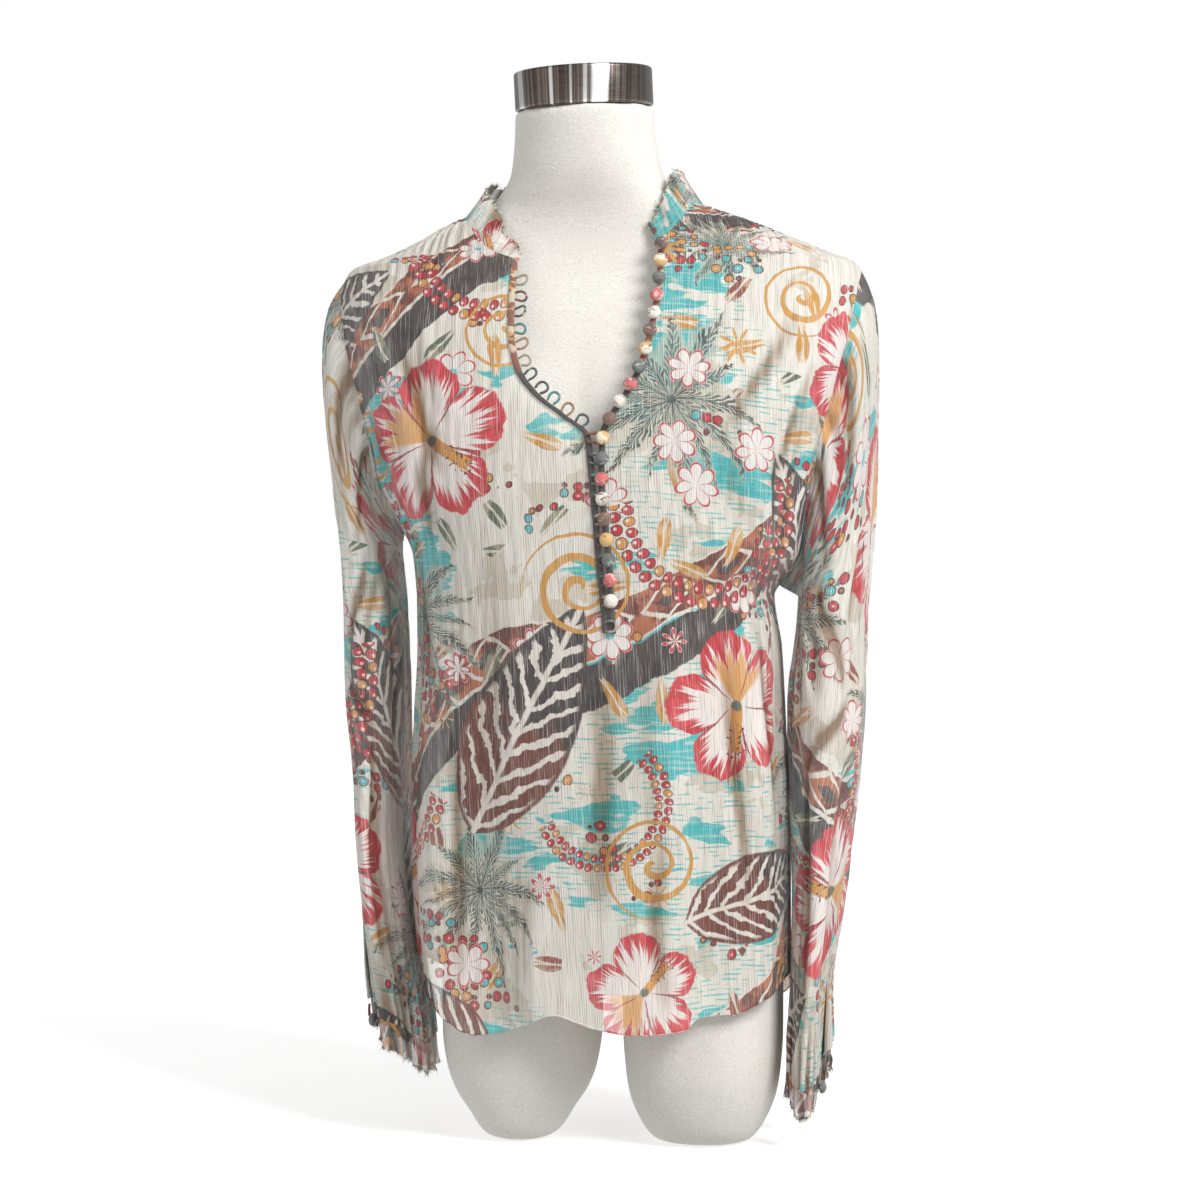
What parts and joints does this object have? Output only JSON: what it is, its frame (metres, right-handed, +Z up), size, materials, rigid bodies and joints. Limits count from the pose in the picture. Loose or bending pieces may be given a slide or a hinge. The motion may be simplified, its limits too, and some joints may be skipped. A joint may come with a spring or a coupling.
{
  "type": "tunic blouse on a dress form",
  "caption": "Sheer printed tunic blouse with a slit neck, covered buttons and long sleeves, worn by a limbless dress form.",
  "frame": {"origin": "middle of the footprint, at the height of the thigh ends' flats", "axes": "+Z up, the blouse faces -Y, +X is the wearer's left"},
  "size_m": [0.4454, 0.2608, 0.849],
  "materials": {
    "form_cover": "plain woven cover with fine flecks, matt",
    "cap_metal": "brushed metal cap",
    "printed_chiffon": "sheer crinkled chiffon with a bright printed pattern",
    "binding_cloth": "narrow folded binding of the printed cloth",
    "loop_cord": "thin sewn cord of the printed cloth",
    "cover_cream": "cloth-covered dome",
    "cover_coral": "cloth-covered dome",
    "cover_grey": "cloth-covered dome",
    "cover_ochre": "cloth-covered dome",
    "cover_brown": "cloth-covered dome"
  },
  "bodies": {
    "root": {"dress_form": "form_cover", "neck_cap": "cap_metal", "front": "printed_chiffon", "back": "printed_chiffon", "sleeve_right": "printed_chiffon", "sleeve_left": "printed_chiffon", "collar": "printed_chiffon", "cuff_right": "printed_chiffon", "cuff_left": "printed_chiffon", "binding_right": "binding_cloth", "binding_left": "binding_cloth", "button_01": "cover_cream", "button_02": "cover_coral", "button_03": "cover_grey", "button_04": "cover_ochre", "button_05": "cover_brown", "button_06": "cover_cream", "button_07": "cover_coral", "button_08": "cover_grey", "button_09": "cover_ochre", "button_10": "cover_brown", "button_11": "cover_cream", "button_12": "cover_coral", "button_13": "cover_grey", "button_14": "cover_ochre", "button_15": "cover_brown", "button_16": "cover_cream", "button_17": "cover_coral", "button_18": "cover_grey", "button_19": "cover_ochre", "button_20": "cover_brown", "loop_00": "loop_cord", "loop_01": "loop_cord", "loop_02": "loop_cord", "loop_03": "loop_cord", "loop_04": "loop_cord", "loop_05": "loop_cord", "loop_06": "loop_cord", "loop_07": "loop_cord", "loop_08": "loop_cord", "loop_09": "loop_cord", "loop_10": "loop_cord", "loop_11": "loop_cord", "loop_12": "loop_cord", "loop_13": "loop_cord", "loop_14": "loop_cord", "loop_15": "loop_cord", "loop_16": "loop_cord", "loop_17": "loop_cord", "loop_18": "loop_cord", "loop_19": "loop_cord", "loop_20": "loop_cord", "cuff_button_right": "cover_grey", "cuff_loop_right": "loop_cord", "cuff_button_left": "cover_grey", "cuff_loop_left": "loop_cord"}
  },
  "joints": []
}
